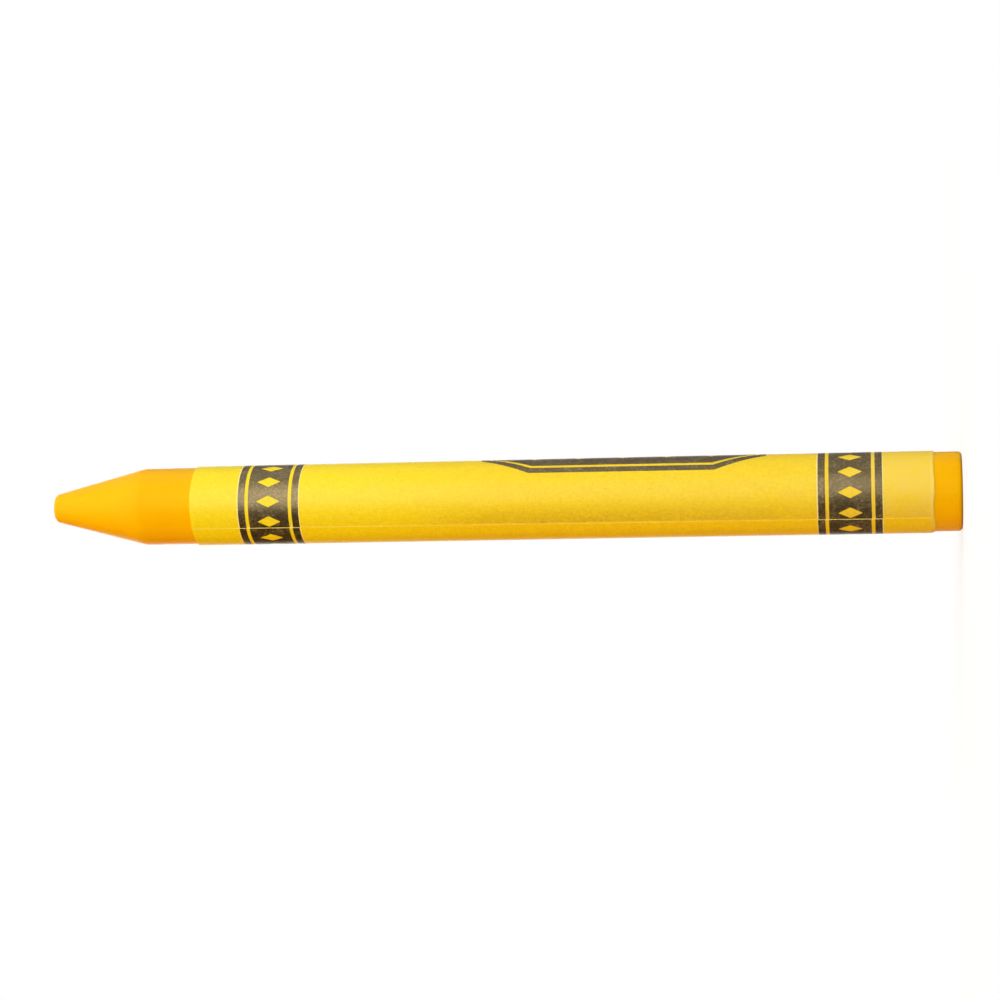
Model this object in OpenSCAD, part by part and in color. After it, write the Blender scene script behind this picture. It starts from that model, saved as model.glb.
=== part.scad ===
// Wax crayon: a cast wax stick in a rolled and glued paper label, with its print.
// It stands on its flat base. The origin is the centre of the base, and +Z runs up the stick to the tip.
// The panel printed on the label faces -Y.

/* [Wax stick] */
// Length of the stick, from its base to its tip
stick_l = 92; // [70:1:120]
// Diameter of the cast wax
wax_d = 7.8; // [6:0.02:12]
// Radius on the edge of the flat base
base_edge_r = 0.4; // [0.1:0.05:1]
// Length of the cone
cone_l = 9.6; // [6:0.2:14]
// Diameter of the cone's blunt end, measured at its sharp corner
tip_d = 2.8; // [1.8:0.1:4]
// Radius on the edge of the blunt end
tip_edge_r = 0.5; // [0.1:0.05:0.8]
// Radius that blends the barrel into the cone
shoulder_r = 3; // [0.5:0.5:6]

/* [Paper label] */
// Thickness of one ply of paper
ply_t = 0.05; // [0.04:0.01:0.2]
// Number of plies under the whole label
plies = 2; // [1:1:4]
// Bare wax between the base and the label
bare_base = 2.7; // [1:0.1:8]
// Bare barrel between the label and the cone
bare_tip = 5.6; // [1:0.1:12]
// Angle of the seam round the stick, from +X
seam_angle = 125; // [100:1:160]

/* [Print] */
// Thickness of the ink
ink_t = 0.02; // [0.02:0.01:0.05]
// Bare paper between each end of the label and its band
margin_l = 5; // [1:0.2:10]
// Width of each dark band
band_w = 6.2; // [4:0.2:12]
// Width of the thin bare rings in a band
ring_w = 0.35; // [0.2:0.05:0.6]
// Distance from a band's edge to its bare ring
ring_in = 0.7; // [0.4:0.05:0.9]
// Number of diamonds round a band
diamond_n = 12; // [6:1:14]
// Height of a band's diamond, along the stick
diamond_h = 2.4; // [0.6:0.1:2.8]
// Width of a band's diamond, round the stick
diamond_w = 1.2; // [0.6:0.1:1.3]

/* [Panel] */
// Height of the panel, along the stick
panel_h = 28.4; // [24:0.2:36]
// Width of the panel, measured round the stick
panel_w = 9.4; // [8:0.2:10]
// Distance from the label's middle down to the panel's middle
panel_drop = 6.6; // [0:0.1:10]
// Height of the panel's cut corners
cut_h = 5; // [2:0.2:6]
// Width of the panel's cut corners
cut_w = 2.4; // [1:0.2:3]
// Distance from the panel's edge to the thin bare line inside it
line_in = 0.7; // [0.4:0.05:0.9]
// Width of that line
line_w = 0.35; // [0.2:0.05:0.6]
// Number of lozenges in the panel's column
lozenge_n = 5; // [1:1:5]
// Spacing of the lozenges
lozenge_pitch = 4.4; // [3.6:0.1:4.6]
// Height of each lozenge
lozenge_h = 3.4; // [2:0.1:3.5]
// Width of each lozenge, seen from the front
lozenge_w = 4.2; // [2:0.1:4.6]
// Height of the bare outline at each lozenge's tips
lozenge_line = 0.75; // [0.3:0.05:0.9]

/* [Hidden] */
$fn = 96;

wax_color = [0.99, 0.68, 0.02];
paper_color = [0.98, 0.83, 0.22];
ink_color = [0.36, 0.30, 0.20];

wax_r = wax_d / 2;
tip_r = tip_d / 2;
cone_z = stick_l - cone_l;
cone_a = atan((wax_r - tip_r) / cone_l);

label_z = bare_base;
label_l = cone_z - bare_tip - bare_base;
label_r = wax_r + plies * ply_t;

base_band_z = label_z + margin_l;
tip_band_z = label_z + label_l - margin_l - band_w;

panel_angle = -90;
panel_z = label_z + label_l / 2 - panel_drop;

// The cutters for the print start under the label at one radius, and end far outside it
start_r = 0.6 * label_r;
far = 2 * label_r;

// The angle, in degrees, of a length measured round the label.
function round_deg(s) = s / label_r * 180 / PI;

// The point at radius r and angle a.
function polar(r, a) = [r * cos(a), r * sin(a)];

// Points along an arc with centre c and radius r, from angle a0 to angle a1.
function arc(c, r, a0, a1, steps = 8) =
    [for (i = [0:steps]) c + polar(r, a0 + (a1 - a0) * i / steps)];

// A pie slice from angle a0 to angle a1, under 180 degrees wide, that reaches past the label.
module slice(a0, a1) {
    polygon(concat([[0, 0]], [for (i = [0:4]) polar(far, a0 + (a1 - a0) * i / 4)]));
}

// A flat outline pushed straight out through the label, at angle a and height z.
// In the outline, +X runs round the stick with the angle, and +Y runs up the stick.
module stamp(a, z) {
    rotate([0, 0, a])
        translate([start_r, 0, z])
            rotate([90, 0, 90])
                linear_extrude(far) children();
}

// A diamond, w wide and h high.
module diamond(w, h) {
    polygon([[w / 2, 0], [0, h / 2], [-w / 2, 0], [0, -h / 2]]);
}

// Half of the stick's section: rounded base edge, barrel, blended shoulder, cone, rounded blunt end.
module stick_profile() {
    base_c = [wax_r - base_edge_r, base_edge_r];
    shoulder_c = [wax_r - shoulder_r, cone_z - shoulder_r * tan(cone_a / 2)];
    tip_c = [tip_r - tip_edge_r * (1 - sin(cone_a)) / cos(cone_a), stick_l - tip_edge_r];
    polygon(concat(
        [[0, 0]],
        arc(base_c, base_edge_r, -90, 0),
        arc(shoulder_c, shoulder_r, 0, cone_a),
        arc(tip_c, tip_edge_r, cone_a, 90),
        [[0, stick_l]]
    ));
}

// The rolled label's outline, raised by lift. One half is true to the stick. The other half climbs
// by one ply, so the roll ends in a step at the seam.
module label_outline(lift = 0) {
    rotate(seam_angle) {
        intersection() {
            circle(label_r + lift);
            translate([-far, 0]) square([2 * far, far]);
        }
        intersection() {
            translate([ply_t / 2, 0]) circle(label_r + ply_t / 2 + lift);
            translate([-far, -far]) square([2 * far, far]);
        }
    }
}

// Ink all the way round the label, from height z, h high.
module ink_ring(z, h) {
    translate([0, 0, z])
        linear_extrude(h)
            difference() {
                label_outline(ink_t);
                label_outline();
            }
}

// A dark band from height z, with two bare rings and a row of bare diamonds between them.
module band(z) {
    difference() {
        ink_ring(z, band_w);
        for (ring_z = [z + ring_in, z + band_w - ring_in - ring_w])
            translate([0, 0, ring_z]) cylinder(r = far, h = ring_w);
        for (i = [0:diamond_n - 1])
            stamp(360 / diamond_n * (i + 0.5), z + band_w / 2) diamond(diamond_w, diamond_h);
    }
}

// A block through the front of the label, with the panel's outline taken in by inset on every side.
module panel_block(inset = 0) {
    w = panel_w - 2 * inset;
    h = panel_h - 2 * inset;
    // How much an inset outline shortens its corner cuts
    k = 1 - inset * (1 / cut_w + 1 / cut_h - norm([1 / cut_w, 1 / cut_h]));
    half = round_deg(w / 2);
    difference() {
        translate([0, 0, panel_z - h / 2])
            linear_extrude(h) slice(panel_angle - half, panel_angle + half);
        for (side = [-1, 1], up = [-1, 1])
            stamp(panel_angle + side * round_deg((w - k * cut_w) / 2), panel_z + up * (h - k * cut_h) / 2)
                polygon([
                    [side * cut_w, up * cut_h],
                    [-side * cut_w, up * cut_h],
                    [side * cut_w, -up * cut_h]
                ]);
    }
}

// The bare outline of one lozenge in the panel.
module lozenge() {
    inner = 1 - 2 * lozenge_line / lozenge_h;
    difference() {
        diamond(lozenge_w, lozenge_h);
        diamond(lozenge_w * inner, lozenge_h * inner);
    }
}

module wax_stick() {
    color(wax_color)
        rotate_extrude() stick_profile();
}

module paper_wrapper() {
    color(paper_color)
        translate([0, 0, label_z])
            linear_extrude(label_l)
                difference() {
                    label_outline();
                    circle(wax_r);
                }
}

module base_band_print() {
    color(ink_color) band(base_band_z);
}

module tip_band_print() {
    color(ink_color) band(tip_band_z);
}

module panel_print() {
    color(ink_color)
        difference() {
            intersection() {
                ink_ring(panel_z - panel_h / 2, panel_h);
                panel_block();
            }
            difference() {
                panel_block(line_in);
                panel_block(line_in + line_w);
            }
            for (i = [0:lozenge_n - 1])
                stamp(panel_angle, panel_z + (i - (lozenge_n - 1) / 2) * lozenge_pitch) lozenge();
        }
}

wax_stick();
paper_wrapper();
base_band_print();
tip_band_print();
panel_print();
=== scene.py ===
"""A wax crayon in its paper label, with the finish of each surface, on a pale studio floor.

The crayon stands on its flat base at z = 0, and +Z runs up the stick to its tip. Lengths are in
metres. The label is one sheet rolled twice round the stick. A place on the sheet is given by its
turn, the angle rolled back from the sheet's outer edge, and by its height.
"""
import math

import bmesh
import bpy
from mathutils import Matrix, Vector, noise


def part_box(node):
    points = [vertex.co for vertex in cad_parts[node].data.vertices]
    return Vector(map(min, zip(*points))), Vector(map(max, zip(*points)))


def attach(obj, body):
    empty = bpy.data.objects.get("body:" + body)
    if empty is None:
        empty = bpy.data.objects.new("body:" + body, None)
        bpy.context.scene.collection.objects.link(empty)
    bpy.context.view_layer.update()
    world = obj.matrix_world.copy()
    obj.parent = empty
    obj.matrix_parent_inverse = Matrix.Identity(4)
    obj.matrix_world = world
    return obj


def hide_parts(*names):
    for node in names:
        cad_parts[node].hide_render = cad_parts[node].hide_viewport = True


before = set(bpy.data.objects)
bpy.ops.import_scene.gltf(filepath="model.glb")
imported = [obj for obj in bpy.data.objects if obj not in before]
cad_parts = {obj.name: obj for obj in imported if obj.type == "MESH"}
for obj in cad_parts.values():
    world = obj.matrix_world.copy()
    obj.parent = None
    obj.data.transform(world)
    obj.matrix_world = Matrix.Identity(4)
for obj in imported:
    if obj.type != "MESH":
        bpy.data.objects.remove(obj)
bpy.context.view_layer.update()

MM = 0.001
FULL = 2 * math.pi

# ---------------------------------------------------------------- sizes taken from the frame

stick_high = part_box("wax_stick")[1]
label_low, label_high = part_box("paper_wrapper")
WAX_R = stick_high.x
LABEL_R = -label_low.x
PLY = (LABEL_R - WAX_R) / 2

# ---------------------------------------------------------------- the shape of the stick

BASE_EDGE_R = 0.4 * MM
TIP_R = 1.4 * MM            # at the cone's narrow end
TIP_EDGE_R = 0.5 * MM
CONE_L = 9.6 * MM
SHOULDER_R = 3 * MM
STICK_SIDES = 180
STICK_ROW = 0.8 * MM        # the most between two rings of points
CAST_DIP = 0.012 * MM       # deepest hollow that the mould leaves in the wax
CAST_DIP_SIZE = 2.5 * MM

# ---------------------------------------------------------------- the roll of the label

SEAM = math.radians(125)             # where the sheet's outer edge lies, half-way up the label
SEAM_LEAN = math.radians(3.3) / (64 * MM)   # how far round the seam goes as it rises
LAP = math.radians(40)               # how far the sheet runs on past its second turn
CLIMB = math.radians(28)             # how far round each turn takes to climb over the inner edge
GLUE = 0.002 * MM                    # room between two turns
RIPPLE = 0.014 * MM                  # how far the paper stands up from the roll at its ripples
RIPPLE_SIZE = 6 * MM
RIPPLE_UP = 0.4                      # below 1, so ripples are longer up the label than round it
EDGE_LIFT = 0.02 * MM                # how far the sheet's outer edge has lifted
EDGE_LIFT_ROUND = math.radians(3)
EDGE_LIFT_SIZE = 5 * MM
EDGE_LIFT_SEED = 7.3                 # which line through the noise the lift follows
OVERHANG = 0.08 * MM                 # how far the hidden turn shows below the outer one
SETBACK = 0.25 * MM                  # how much further back the outer edge's lower corner lies
CUT_STRAY = 0.15 * MM                # how far the sheet's cut ends stray from a straight line
CUT_STRAYS = 2.5                     # how quickly they stray, for each radian rolled back
CUT_STRAY_SEEDS = (7.75, 1.3)        # which lines through the noise the lower and upper ends follow
TOP_OVERHANG = 0.5                   # the upper end's share of the overhang and the stray
TOP_SETBACK = 0.2                    # the upper corner's share of the setback
SHEET_ROW = 1.5 * MM
SHEET_STEP = math.radians(3)
EDGE_STEPS = 6                       # finer steps, where the outer edge has lifted

# Where each part of the sheet lies across its map: the start and the width of a strip
MAP_OUTER_TURN = (0, 0.95)
MAP_CUT_EDGES = (0.952, 0.003)
MAP_CUT_ENDS = (0.955, 0.005)
MAP_HIDDEN = (0.96, 0.04)

# ---------------------------------------------------------------- the print on the label

INK_T = 0.012 * MM                   # how far the ink stands out from the sheet
BARE_EDGE = 0.045 * MM               # bare paper along the sheet's cut outer edge
PRINT_DRIFT = 0.05 * MM              # how far the print slips down the stick in one turn
PRINT_STEP = math.radians(3)
SEAM_WIDTH = math.radians(0.05)      # a print's points this near the seam lie on it
OUTER_SKIN = 0.7                     # faces turned outwards by less than this aren't printed skin
WELD = 0.0005 * MM


def smooth(x):
    """0 below 0, 1 above 1, and a smooth step between."""
    x = min(max(x, 0), 1)
    return x * x * (3 - 2 * x)


def seam_at(z):
    """The angle of the sheet's outer edge at height z."""
    middle = (label_low.z + label_high.z) / 2
    return SEAM + SEAM_LEAN * (z - middle)


def ripple(angle, z):
    """How far the paper stands up from the roll here."""
    x, y = LABEL_R * math.cos(angle), LABEL_R * math.sin(angle)
    place = Vector((x, y, RIPPLE_UP * z)) / RIPPLE_SIZE
    return RIPPLE * (0.5 + 0.5 * noise.noise(place))


def sheet_radius(turn, z):
    """The radius of the sheet's outer face at this turn and height."""
    whole, rest = divmod(turn, FULL)
    lapped = 1 - smooth((rest - LAP) / CLIMB)
    radius = LABEL_R + PLY * (lapped - whole) + ripple(seam_at(z) - turn, z)
    if whole == 0:
        lift = 0.5 + 0.5 * noise.noise(Vector((EDGE_LIFT_SEED, 0, z / EDGE_LIFT_SIZE)))
        radius += EDGE_LIFT * lift * math.exp(-turn / EDGE_LIFT_ROUND)
    return radius


def on_sheet(turn, z, depth=0):
    """The point at this turn and height, at a depth below the sheet's outer face."""
    angle = seam_at(z) - turn
    radius = sheet_radius(turn, z) - depth
    return Vector((radius * math.cos(angle), radius * math.sin(angle), z))


# ---------------------------------------------------------------- meshes


def piece(name, bm, materials, sharp=35):
    """Makes an object of a bmesh, smooth but for edges over the sharp angle, riding on the part."""
    bmesh.ops.recalc_face_normals(bm, faces=bm.faces)
    mesh = bpy.data.meshes.new(name)
    bm.to_mesh(mesh)
    bm.free()
    mesh.polygons.foreach_set("use_smooth", [True] * len(mesh.polygons))
    mesh.set_sharp_from_angle(angle=math.radians(sharp))
    for material in materials:
        mesh.materials.append(material)
    made = bpy.data.objects.new(name, mesh)
    bpy.context.scene.collection.objects.link(made)
    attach(made, "root")
    return made


def set_order(bm):
    """Puts a mesh's points, edges and faces in an order that doesn't differ from run to run."""
    for elements, place in (
        (bm.verts, lambda point: point.co),
        (bm.edges, lambda edge: edge.verts[0].co + edge.verts[1].co),
        (bm.faces, lambda face: face.calc_center_median()),
    ):
        ordered = sorted(elements, key=lambda element: tuple(place(element)))
        for index, element in enumerate(ordered):
            element.index = index
        elements.sort()


def arc(centre, radius, start, end, steps=8):
    """Points on an arc of the stick's section, from one angle to another in degrees."""
    angles = [math.radians(start + (end - start) * i / steps) for i in range(steps + 1)]
    return [(centre[0] + radius * math.cos(a), centre[1] + radius * math.sin(a)) for a in angles]


def with_rows(points, pitch):
    """The same line of points, with more of them where two lie further apart than the pitch."""
    line = [points[0]]
    for (r0, z0), (r1, z1) in zip(points, points[1:]):
        count = max(1, math.ceil(math.hypot(r1 - r0, z1 - z0) / pitch))
        line += [
            (r0 + (r1 - r0) * i / count, z0 + (z1 - z0) * i / count) for i in range(1, count + 1)
        ]
    return line


def stick_section():
    """The stick's section from the middle of its base, up its side, to the middle of its tip."""
    cone_z = stick_high.z - CONE_L
    lean = math.atan((WAX_R - TIP_R) / CONE_L)
    base_c = (WAX_R - BASE_EDGE_R, BASE_EDGE_R)
    shoulder_c = (WAX_R - SHOULDER_R, cone_z - SHOULDER_R * math.tan(lean / 2))
    tip_c = (TIP_R - TIP_EDGE_R * (1 - math.sin(lean)) / math.cos(lean), stick_high.z - TIP_EDGE_R)
    return with_rows(
        [(0, 0)]
        + arc(base_c, BASE_EDGE_R, -90, 0)
        + arc(shoulder_c, SHOULDER_R, 0, math.degrees(lean))
        + arc(tip_c, TIP_EDGE_R, math.degrees(lean), 90)
        + [(0, stick_high.z)],
        STICK_ROW,
    )


def make_stick(material):
    """The cast stick, with the faint hollows of its casting."""
    bm = bmesh.new()
    rings = []
    for radius, z in stick_section():
        if radius == 0:
            rings.append([bm.verts.new((0, 0, z))])
            continue
        ring = []
        for i in range(STICK_SIDES):
            angle = FULL * i / STICK_SIDES
            place = Vector((radius * math.cos(angle), radius * math.sin(angle), z))
            dip = CAST_DIP * (0.5 + 0.5 * noise.noise(place / CAST_DIP_SIZE))
            deep = dip * smooth(z / BASE_EDGE_R) * smooth((stick_high.z - z) / TIP_EDGE_R)
            inward = 1 - deep / radius
            ring.append(bm.verts.new((place.x * inward, place.y * inward, z)))
        rings.append(ring)
    for low, high in zip(rings, rings[1:]):
        for i in range(STICK_SIDES):
            j = (i + 1) % STICK_SIDES
            if len(low) == 1:
                bm.faces.new((low[0], high[j], high[i]))
            elif len(high) == 1:
                bm.faces.new((low[i], low[j], high[0]))
            else:
                bm.faces.new((low[i], low[j], high[j], high[i]))
    stick = piece("wax_stick_cast", bm, [material])
    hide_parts("wax_stick")
    return stick


def sheet_ends(turn):
    """The heights of the sheet's lower and upper edges at this turn."""
    low_stray, high_stray = [
        CUT_STRAY * noise.noise(Vector((CUT_STRAYS * turn, seed, 0))) for seed in CUT_STRAY_SEEDS
    ]
    overhang = OVERHANG * (1 - smooth((turn - FULL) / LAP))
    setback = SETBACK * max(0, 1 - turn / FULL) ** 3
    low = label_low.z + low_stray + overhang + setback
    high = (
        label_high.z - TOP_OVERHANG * high_stray - TOP_OVERHANG * overhang - TOP_SETBACK * setback
    )
    return low, high


def make_sheet(paper, cut_edge):
    """The label: one sheet of true thickness, rolled twice round the stick, lapped at the seam."""
    end = 2 * FULL + LAP
    steps = math.ceil(end / SHEET_STEP)
    turns = [EDGE_LIFT_ROUND * i / EDGE_STEPS for i in range(EDGE_STEPS)] + [
        EDGE_LIFT_ROUND + (end - EDGE_LIFT_ROUND) * i / steps for i in range(steps + 1)
    ]
    rows = math.ceil((label_high.z - label_low.z) / SHEET_ROW)
    bm = bmesh.new()
    bake_map = bm.loops.layers.uv.new("OFBake")
    sides = []
    for depth in (0, PLY - GLUE):
        grid = []
        for turn in turns:
            low, high = sheet_ends(turn)
            heights = [low + (high - low) * j / rows for j in range(rows + 1)]
            grid.append([bm.verts.new(on_sheet(turn, z, depth)) for z in heights])
        sides.append(grid)
    outer, inner = sides
    last, top = len(turns) - 1, rows
    printed, cut = 0, 1      # which material each side has

    def face(corners, material):
        """A face of corners, each with its place on the map, in one of the two materials."""
        made = bm.faces.new([corner for corner, _ in corners])
        made.material_index = material
        for loop, (_, place) in zip(made.loops, corners):
            loop[bake_map].uv = place

    def across_map(strip, share):
        """How far across the map a strip's share lies."""
        start, width = strip
        return start + width * share

    def on_map(i, j, hidden):
        """The printed outer turn fills nearly the whole map. What is hidden shares its margin."""
        if hidden or turns[i] > FULL:
            return (across_map(MAP_HIDDEN, turns[i] / end), j / top)
        return (across_map(MAP_OUTER_TURN, turns[i] / FULL), j / top)

    for i in range(last):
        for j in range(top):
            corners = [(i, j), (i, j + 1), (i + 1, j + 1), (i + 1, j)]
            hidden = turns[i + 1] > FULL
            face([(outer[a][b], on_map(a, b, hidden)) for a, b in corners], printed)
            face([(inner[a][b], on_map(a, b, True)) for a, b in reversed(corners)], cut)
    for i in range(last):
        for j in (0, top):
            corners = [(outer, i), (inner, i), (inner, i + 1), (outer, i + 1)]
            face([
                (side[k][j], (across_map(MAP_CUT_ENDS, side is outer), turns[k] / end))
                for side, k in corners
            ], cut)
    for i in (0, last):
        for j in range(top):
            corners = [(outer, j), (outer, j + 1), (inner, j + 1), (inner, j)]
            face([
                (side[i][k], (across_map(MAP_CUT_EDGES, side is outer), k / top))
                for side, k in corners
            ], cut)
    sheet = piece("label_sheet", bm, [paper, cut_edge])
    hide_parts("paper_wrapper")
    return sheet


def make_print(node, name, ink):
    """A print: the node's outer skin, cut finely round the label, laid on the sheet, thickened."""
    bm = bmesh.new()
    bm.from_mesh(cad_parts[node].data)
    bmesh.ops.remove_doubles(bm, verts=bm.verts, dist=WELD)
    bm.normal_update()
    inside = []
    for f in bm.faces:
        middle = f.calc_center_median()
        outward = Vector((middle.x, middle.y, 0)).normalized()
        if f.normal.dot(outward) < OUTER_SKIN:
            inside.append(f)
    bmesh.ops.delete(bm, geom=inside, context="FACES")
    for i in range(round(math.pi / PRINT_STEP)):
        across = i * PRINT_STEP
        everything = bm.verts[:] + bm.edges[:] + bm.faces[:]
        bmesh.ops.bisect_plane(
            bm, geom=everything, dist=WELD, plane_co=(0, 0, 0),
            plane_no=(-math.sin(across), math.cos(across), 0),
        )
    bare = BARE_EDGE / LABEL_R
    for v in bm.verts:
        turn = (SEAM - math.atan2(v.co.y, v.co.x)) % FULL
        if min(turn, FULL - turn) < SEAM_WIDTH:
            on_lap = math.hypot(v.co.x, v.co.y) > LABEL_R + PLY / 2
            turn = 0 if on_lap else FULL
        z = v.co.z - PRINT_DRIFT * (turn / FULL - 0.5)
        v.co = on_sheet(max(turn, bare), z)
    skin = bm.faces[:]
    grown = bmesh.ops.extrude_face_region(bm, geom=skin, use_keep_orig=True)["geom"]
    for v in grown:
        if isinstance(v, bmesh.types.BMVert):
            out = Vector((v.co.x, v.co.y, 0)).normalized()
            v.co += out * INK_T
    set_order(bm)
    made = piece(name, bm, [ink])
    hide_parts(node)
    return made


# ---------------------------------------------------------------- shaders


class Value:
    """A socket in a shader. Arithmetic on it adds the Math nodes that work it out."""

    def __init__(self, nodes, socket):
        self.nodes = nodes
        self.socket = socket

    def maths(self, operation, first, second):
        return self.nodes.add("Math", {"operation": operation}, {0: first, 1: second})

    def __add__(self, other):
        return self.maths("ADD", self, other)

    def __radd__(self, other):
        return self.maths("ADD", other, self)

    def __sub__(self, other):
        return self.maths("SUBTRACT", self, other)

    def __rsub__(self, other):
        return self.maths("SUBTRACT", other, self)

    def __mul__(self, other):
        return self.maths("MULTIPLY", self, other)

    def __rmul__(self, other):
        return self.maths("MULTIPLY", other, self)

    def __abs__(self):
        return self.nodes.add("Math", {"operation": "ABSOLUTE"}, {0: self})


class Nodes:
    """Builds a node tree."""

    def __init__(self, tree):
        self.tree = tree
        self.tree.nodes.clear()

    def add(self, kind, settings, sockets, output=0):
        """Adds a node with these settings, and values or links at its sockets. Gives an output."""
        made = self.tree.nodes.new("ShaderNode" + kind)
        for key, value in settings.items():
            setattr(made, key, value)
        for key, value in sockets.items():
            if isinstance(value, Value):
                self.tree.links.new(value.socket, made.inputs[key])
            else:
                made.inputs[key].default_value = value
        return Value(self, made.outputs[output] if made.outputs else None)

    def place(self):
        """Where the surface is, in metres."""
        return self.add("TexCoord", {}, {}, "Object")

    def split(self, place):
        """The x, y and z of a place."""
        first = self.add("SeparateXYZ", {}, {0: place})
        return [Value(self, socket) for socket in first.socket.node.outputs]

    def stretched(self, place, x, y, z):
        """A place with its axes scaled."""
        return self.add("VectorMath", {"operation": "MULTIPLY"}, {0: place, 1: (x, y, z)})

    def noise(self, place, size, detail=2, roughness=0.5, distortion=0):
        """Cloudy noise from 0 to 1, with features of about this size."""
        return self.add(
            "TexNoise", {},
            {"Vector": place, "Scale": 1 / size, "Detail": detail, "Roughness": roughness,
             "Distortion": distortion},
        )

    def step(self, value, low, high, to_low=0, to_high=1):
        """A smooth step from to_low to to_high as the value goes from low to high."""
        return self.add(
            "MapRange", {"interpolation_type": "SMOOTHSTEP"},
            {"Value": value, "From Min": low, "From Max": high,
             "To Min": to_low, "To Max": to_high},
        )

    def mix(self, factor, a, b):
        """A colour from a, at factor 0, to b, at factor 1."""
        return self.add("Mix", {"data_type": "RGBA"}, {0: factor, 6: a, 7: b}, 2)

    def scaled(self, colour, by):
        """A colour made brighter or darker."""
        return self.add("VectorMath", {"operation": "SCALE"}, {0: colour, "Scale": by})

    def bump(self, height, depth):
        """A normal from a height of 0 to 1, where 1 stands this far out of the surface."""
        return self.add("Bump", {}, {"Height": height, "Strength": 1, "Distance": depth})

    def surface(self, sockets):
        """The finished surface."""
        shader = self.add("BsdfPrincipled", {}, sockets)
        self.add("OutputMaterial", {}, {"Surface": shader})


def finish(name):
    """A new material and the builder of its nodes."""
    material = bpy.data.materials.new(name)
    material.use_nodes = True
    return material, Nodes(material.node_tree)


def colour(red, green, blue):
    """A colour as a screen shows it, from 0 to 255, as the light that a shader wants."""
    def light(c):
        c /= 255
        return c / 12.92 if c <= 0.04045 else ((c + 0.055) / 1.055) ** 2.4
    return (light(red), light(green), light(blue), 1)


WAX_DEEP, WAX_LIGHT, WAX_PIT = colour(255, 180, 0), colour(255, 193, 0), colour(190, 112, 0)

PAPER_DEEP, PAPER_LIGHT = colour(249, 205, 6), colour(255, 222, 12)
PAPER_LEMON, PAPER_PAINTED_SHEEN = colour(255, 236, 10), colour(252, 214, 74)
PAPER_BARE = colour(255, 240, 165)
PAPER_DIRT_AND_SHADE, PAPER_CAUGHT_DIRT = colour(184, 150, 36), colour(120, 92, 24)
PAPER_SPECK = colour(120, 88, 20)
PAPER_WORN_SEAM, PAPER_WORN_END = colour(255, 242, 180), colour(255, 228, 110)
CUT_DEEP, CUT_LIGHT = colour(242, 204, 64), colour(250, 220, 96)

INK_DEEP, INK_LIGHT, INK_RUBBED_AND_GLINT = colour(26, 22, 7), colour(56, 46, 17), colour(144, 127, 92)

# How far each surface's finest relief stands out
WAX_RELIEF = 0.02 * MM
PAPER_RELIEF = 0.016 * MM
CUT_RELIEF = 0.01 * MM
INK_RELIEF = 0.022 * MM


def wax_finish():
    """Cast wax: smooth, with a yellow sheen, a little light let in, faint draw marks from the mould
    and a few pits."""
    material, n = finish("crayon_wax")
    place = n.place()
    cloud = n.noise(place, 3 * MM, 3)
    draw = n.noise(n.stretched(place, 1, 1, 0.06), 0.35 * MM, 3)
    grain = n.noise(place, 0.12 * MM, 2)
    body = n.mix(cloud, WAX_DEEP, WAX_LIGHT)
    pit = n.step(n.noise(place, 0.3 * MM, 1), 0.77, 0.82)
    body = n.mix(0.4 * pit, n.scaled(body, 0.95 + 0.1 * draw), WAX_PIT)
    height = 0.5 * draw + 0.2 * grain + 0.3 * cloud - 0.8 * pit
    n.surface({
        "Base Color": body,
        "Roughness": 0.34 + 0.16 * draw,
        "Normal": n.bump(height, WAX_RELIEF),
        "IOR": 1.44,
        "Specular IOR Level": 0.4,
        "Specular Tint": (1, 0.7, 0.1, 1),
        "Subsurface Weight": 0.15,
        "Subsurface Radius": (1, 0.5, 0.1),
        "Subsurface Scale": 0.6 * MM,
    })
    return material


def paper_grain(n, place):
    """Felted fibres, up and round the label, and a soft mottle, each from 0 to 1."""
    up = n.noise(n.stretched(place, 1, 1, 0.35), 0.16 * MM, 3, 0.6, 0.6)
    round_it = n.noise(n.stretched(place, 0.4, 0.4, 1), 0.16 * MM, 3, 0.6, 0.6)
    mottle = n.noise(place, 1.1 * MM, 4, 0.55)
    return up, round_it, mottle


def past_seam(n, place):
    """How far this place lies beyond the sheet's outer edge, or below 0 on the sheet's own side."""
    x, y, z = n.split(place)
    along = math.cos(SEAM) * x + math.sin(SEAM) * y
    beside = math.cos(SEAM) * y - math.sin(SEAM) * x
    angle = n.add("Math", {"operation": "ARCTAN2"}, {0: beside, 1: along})
    middle = (label_low.z + label_high.z) / 2
    return (angle - SEAM_LEAN * (z - middle)) * LABEL_R


def dirt_and_shade_by_seam(n, height, beyond):
    """How much dirt and painted shade darken the paper, 0 to 1: most along the seam, less near the
    base, least at the tip.
    """
    strip = n.step(beyond, 0.02 * MM, 0.2 * MM) * n.step(beyond, 0.3 * MM, 2.8 * MM, 1, 0)
    less_at_tip = n.step(height, 44 * MM, 56 * MM, 1, 0.2)
    less_near_base = n.step(height, 12 * MM, 26 * MM, 0.55, 1)
    return strip * less_at_tip * less_near_base


def near_bands(n, height):
    """Masks from 0 to 1: the hairlines along the bands' edges, and the bands themselves."""
    hairline, on_band = 0, 0
    for band in ("base_band_print", "tip_band_print"):
        low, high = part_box(band)
        for edge in (low, high):
            hairline = hairline + n.step(abs(height - edge.z), 0.07 * MM, 0.12 * MM, 1, 0)
        half = (high.z - low.z) / 2
        on_band = on_band + n.step(abs(height - (low.z + half)), half - 0.1 * MM, half, 1, 0)
    return hairline, on_band


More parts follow.
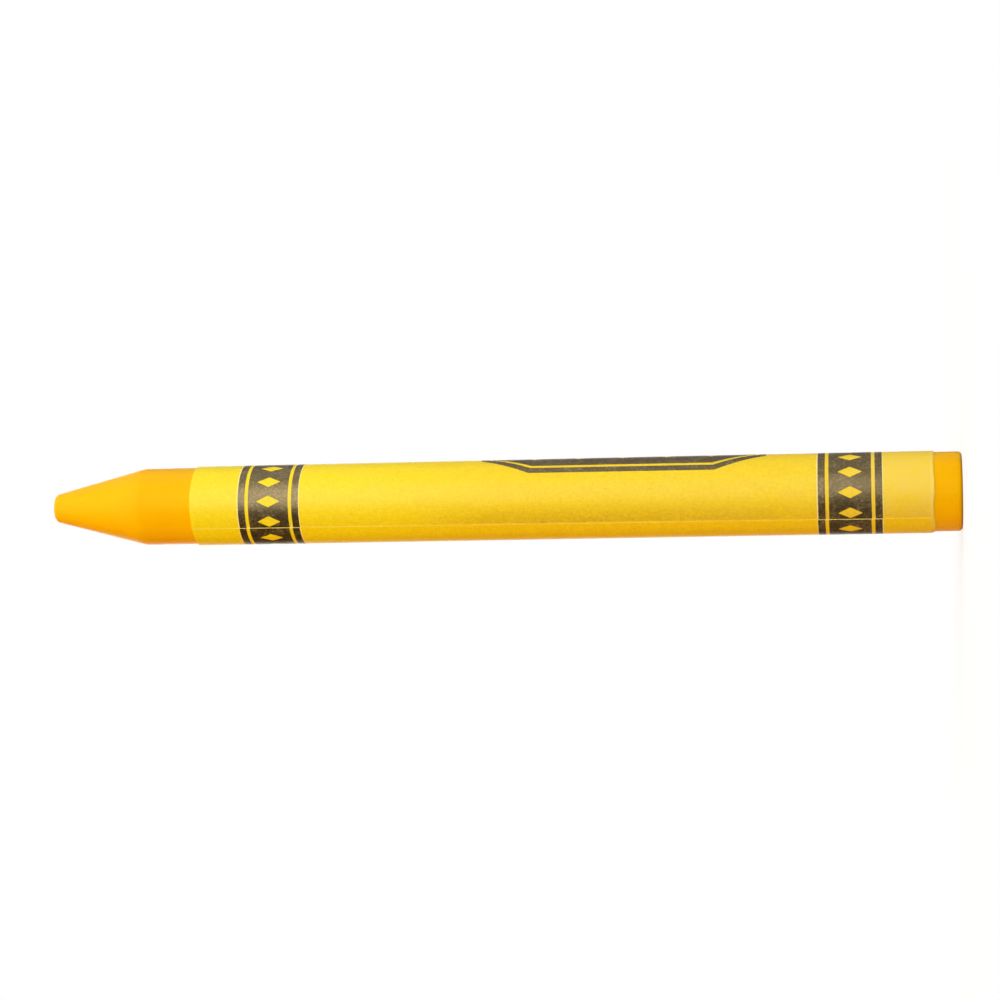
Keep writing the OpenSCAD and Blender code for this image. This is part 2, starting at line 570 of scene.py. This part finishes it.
def paper_finish():
    """Uncoated paper printed yellow, more lemon towards the tip. It has mottle, fibres and specks,
    one side painted paler in patches and most near the base as a painted sheen, dirt and painted
    shade by the seam, dirt caught at it, worn edges, palest where the seam crosses the bands, and a
    hairline of bare paper along each edge of the bands, where the yellow and the dark print don't
    meet."""
    material, n = finish("label_paper")
    place = n.place()
    up, round_it, mottle = paper_grain(n, place)
    height = n.split(place)[2]
    beyond = past_seam(n, place)
    body = n.mix(mottle, PAPER_DEEP, PAPER_LIGHT)
    body = n.mix(n.step(height, 42 * MM, 64 * MM, 0, 0.42), body, PAPER_LEMON)
    body = n.scaled(body, 0.7 + 0.3 * up + 0.3 * round_it)

    # Painted sheen: beside the seam, one side is painted paler in patches, most near the base. The
    # mask faded carries it.
    cloud = n.noise(place, 2.4 * MM, 4, 0.6)
    sheen_side = n.step(beyond, 0, 0.4 * MM) * n.step(beyond, 8 * MM, 12 * MM, 1, 0)
    sheen_near_base = (
        n.step(height, 6 * MM, 15 * MM, 0.75, 0.2) * n.step(height, 15 * MM, 45 * MM, 1, 0.35)
    )
    faded = sheen_side * sheen_near_base * n.step(cloud, 0.2, 0.75, 0.4, 1.6)
    body = n.mix(faded, body, PAPER_PAINTED_SHEEN)

    # Dirt and painted shade: an olive darkening in patches, in a strip beside the seam.
    dirt_and_shade = dirt_and_shade_by_seam(n, height, beyond)
    smudge_grain = n.noise(n.stretched(place, 1, 1, 0.6), 0.25 * MM, 5, 0.75)
    patch = n.noise(n.stretched(place, 1, 1, 0.3), 3 * MM, 2)
    smudge_and_shade = dirt_and_shade * n.step(smudge_grain, 0.2, 0.8, 0.15, 0.75) * (0.6 + 0.35 * patch)
    body = n.mix(smudge_and_shade, body, PAPER_DIRT_AND_SHADE)
    crumbs = n.step(n.noise(n.stretched(place, 1, 1, 0.25), 0.3 * MM, 2), 0.66, 0.72)
    caught = crumbs * n.step(abs(beyond - 0.12 * MM), 0.06 * MM, 0.12 * MM, 1, 0)
    body = n.mix(0.7 * caught * dirt_and_shade, body, PAPER_CAUGHT_DIRT)
    speck = n.step(n.noise(place, 0.22 * MM, 1) + 0.07 * dirt_and_shade, 0.79, 0.83)
    body = n.mix(0.6 * speck, body, PAPER_SPECK)

    hairline, on_band = near_bands(n, height)
    body = n.mix(0.8 * hairline, body, PAPER_BARE)
    at_seam = n.step(abs(beyond), 0.05 * MM, 0.09 * MM, 1, 0)
    broken = n.step(n.noise(n.stretched(place, 1, 1, 0.4), 0.3 * MM, 3, 0.6), 0.3, 0.7, 0.4, 1.6)
    body = n.mix(at_seam * broken * (0.1 + 0.7 * on_band), body, PAPER_WORN_SEAM)
    worn_end = n.step(height - label_low.z, 0.3 * MM, 0.5 * MM, 1, 0)
    body = n.mix(0.4 * worn_end, body, PAPER_WORN_END)
    n.surface({
        "Base Color": body,
        "Roughness": 0.44,
        "Normal": n.bump(0.35 * up + 0.35 * round_it + 0.3 * mottle, PAPER_RELIEF),
        "Specular IOR Level": 0.33,
    })
    return material


def cut_edge_finish():
    """The paper's cut edges and its bare back: pale fibres."""
    material, n = finish("label_cut_edge")
    fibres = n.noise(n.place(), 0.1 * MM, 3)
    n.surface({
        "Base Color": n.mix(fibres, CUT_DEEP, CUT_LIGHT),
        "Roughness": 0.85,
        "Normal": n.bump(fibres, CUT_RELIEF),
    })
    return material


def ink_finish():
    """Thin dark ink with a warm sheen, rubbed through to tan in flecks and patches of curls. The
    tan is partly rubbed ink and partly painted glints.
    """
    material, n = finish("label_ink")
    place = n.place()
    up, round_it, mottle = paper_grain(n, place)
    patch = n.step(n.noise(place, 1.6 * MM, 2), 0.42, 0.62)
    fleck = n.noise(place, 0.26 * MM, 4, 0.8, 0.3)
    winding = n.noise(place, 0.45 * MM, 2, 0.5, 0.5)
    curl = n.step(abs(winding - 0.5), 0.03, 0.07, 1, 0) * patch
    body = n.mix(0.5 * mottle + 0.5 * n.step(fleck, 0.3, 0.6), INK_DEEP, INK_LIGHT)
    # The tan flecks and curls are partly rubbed ink and partly painted glints.
    body = n.mix((0.45 + 0.3 * patch) * n.step(fleck, 0.53, 0.6), body, INK_RUBBED_AND_GLINT)
    body = n.mix(0.25 * curl, body, INK_RUBBED_AND_GLINT)
    relief = 0.2 * up + 0.2 * round_it + 0.1 * mottle + 0.12 * fleck + 0.12 * curl
    n.surface({
        "Base Color": body,
        "Roughness": 0.38,
        "Normal": n.bump(relief, INK_RELIEF),
        "IOR": 1.8,
        "Specular IOR Level": 1,
        "Specular Tint": (1, 0.76, 0.4, 1),
    })
    return material


# ---------------------------------------------------------------- studio

VIEW_AZIMUTH = math.radians(-108)      # the label's seam shows from here, and the panel's edge
VIEW_DISTANCE = 250 * MM
VIEW_HEIGHT = 7 * MM                   # level with the bare margin below the base band
VIEW_AIM = 45.7 * MM                   # the height that lies in the middle of the picture
VIEW_LENS = 90.6
VIEW_TILT = math.radians(1.1)          # the base lies a little high

UP = Vector((0, 0, 1))
TO_CAMERA = Vector((math.sin(VIEW_AZIMUTH), -math.cos(VIEW_AZIMUTH), 0))
UP_IN_VIEW = TO_CAMERA.cross(-UP)

PALE_LIGHT = 0.33                      # the strength of the light from all round
WARM_LIGHT = 0.07                      # and of what a yellow neighbour would send back
FLOOR_SHADE = (0.3, 0.3, 0.3, 1)       # the floor as it lights the crayon
FLOOR_SEEN = (0.95, 0.95, 0.95, 1)     # and as the camera sees it near the crayon
WHITE = (1, 1, 1, 1)


def make_camera():
    """A camera level with the stick, turned on its side, so that the tip lies to the left."""
    camera = bpy.data.objects.new("camera", bpy.data.cameras.new("camera"))
    bpy.context.scene.collection.objects.link(camera)
    camera.data.lens = VIEW_LENS
    camera.data.clip_start = 10 * MM
    camera.data.clip_end = 10
    camera.location = VIEW_DISTANCE * TO_CAMERA + VIEW_HEIGHT * UP
    back = (camera.location - VIEW_AIM * UP).normalized()
    right = -math.cos(VIEW_TILT) * UP - math.sin(VIEW_TILT) * UP_IN_VIEW
    right = (right - back * right.dot(back)).normalized()
    turned = Matrix((right, back.cross(right), back)).transposed()
    camera.matrix_world = Matrix.Translation(camera.location) @ turned.to_4x4()
    bpy.context.scene.camera = camera


def make_lamp(name, towards, size, power, distance=0.5, tint=(1, 1, 1), mirrored=True):
    """A soft square lamp that lies in a direction from the crayon and points at it."""
    lamp = bpy.data.objects.new(name, bpy.data.lights.new(name, "AREA"))
    bpy.context.scene.collection.objects.link(lamp)
    lamp.data.size = size
    lamp.data.energy = power
    lamp.data.color = tint
    lamp.visible_glossy = mirrored
    aim = stick_high.z / 2 * UP
    direction = towards.normalized()
    lamp.location = aim + direction * distance
    lamp.rotation_mode = "QUATERNION"
    lamp.rotation_quaternion = direction.to_track_quat("Z", "Y")


def make_world():
    """Pale light from all round, but dim and warm on the side that lies low in the view, as from a
    yellow neighbour. The camera sees plain white."""
    world = bpy.data.worlds.new("studio")
    world.use_nodes = True
    bpy.context.scene.world = world
    n = Nodes(world.node_tree)
    towards = n.add("TexCoord", {}, {}, "Generated")
    lowness = n.add(
        "VectorMath", {"operation": "DOT_PRODUCT"}, {0: towards, 1: -UP_IN_VIEW}, "Value"
    )
    pale = n.add("Background", {}, {"Color": WHITE, "Strength": PALE_LIGHT})
    warm = n.add("Background", {}, {"Color": (1, 0.5, 0.04, 1), "Strength": WARM_LIGHT})
    lit = n.add("MixShader", {}, {0: n.step(lowness, -0.2, 0.4), 1: pale, 2: warm})
    white = n.add("Background", {}, {"Color": WHITE, "Strength": 1})
    camera_ray = n.add("LightPath", {}, {}, "Is Camera Ray")
    shown = n.add("MixShader", {}, {0: camera_ray, 1: lit, 2: white})
    n.add("OutputWorld", {}, {"Surface": shown})


def make_floor():
    """A pale floor under the crayon, which keeps its shadow and fades to white further off."""
    bm = bmesh.new()
    bmesh.ops.create_grid(bm, x_segments=1, y_segments=1, size=1)
    mesh = bpy.data.meshes.new("floor")
    bm.to_mesh(mesh)
    bm.free()
    floor = bpy.data.objects.new("floor", mesh)
    bpy.context.scene.collection.objects.link(floor)
    material, n = finish("pale_floor")
    far = n.add("VectorMath", {"operation": "LENGTH"}, {0: n.place()}, "Value")
    camera_ray = n.add("LightPath", {}, {}, "Is Camera Ray")
    matt = n.add("BsdfDiffuse", {}, {"Color": FLOOR_SHADE})
    pale = n.add("BsdfDiffuse", {}, {"Color": FLOOR_SEEN})
    white = n.add("Emission", {}, {"Color": WHITE, "Strength": 1})
    faded = n.add("MixShader", {}, {0: n.step(far, 10 * MM, 90 * MM, 0.6, 1), 1: pale, 2: white})
    shown = n.add("MixShader", {}, {0: camera_ray, 1: matt, 2: faded})
    n.add("OutputMaterial", {}, {"Surface": shown})
    mesh.materials.append(material)


# ---------------------------------------------------------------- the scene

make_camera()
make_world()
make_floor()
make_lamp("key", TO_CAMERA + 0.45 * UP_IN_VIEW + 0.5 * UP, size=0.55, power=2.3)
make_lamp(
    "front_fill", TO_CAMERA + 0.2 * UP_IN_VIEW + 0.3 * UP, size=0.5, power=0.25, mirrored=False
)
make_lamp("side", UP_IN_VIEW + 0.3 * UP, size=0.5, power=0.4)
make_lamp("back", -TO_CAMERA - 0.1 * UP_IN_VIEW + 0.3 * UP, size=0.5, power=1.5)
make_lamp("overhead", UP, size=0.4, power=1.5, distance=0.6)
make_lamp(
    "warm_fill", 0.1 * TO_CAMERA - UP_IN_VIEW, size=0.4, power=2.25, tint=(1, 0.53, 0.1),
    mirrored=False,
)

make_stick(wax_finish())
make_sheet(paper_finish(), cut_edge_finish())
ink = ink_finish()
make_print("base_band_print", "base_band_ink", ink)
make_print("tip_band_print", "tip_band_ink", ink)
make_print("panel_print", "panel_ink", ink)

bpy.context.scene.view_settings.view_transform = "Standard"
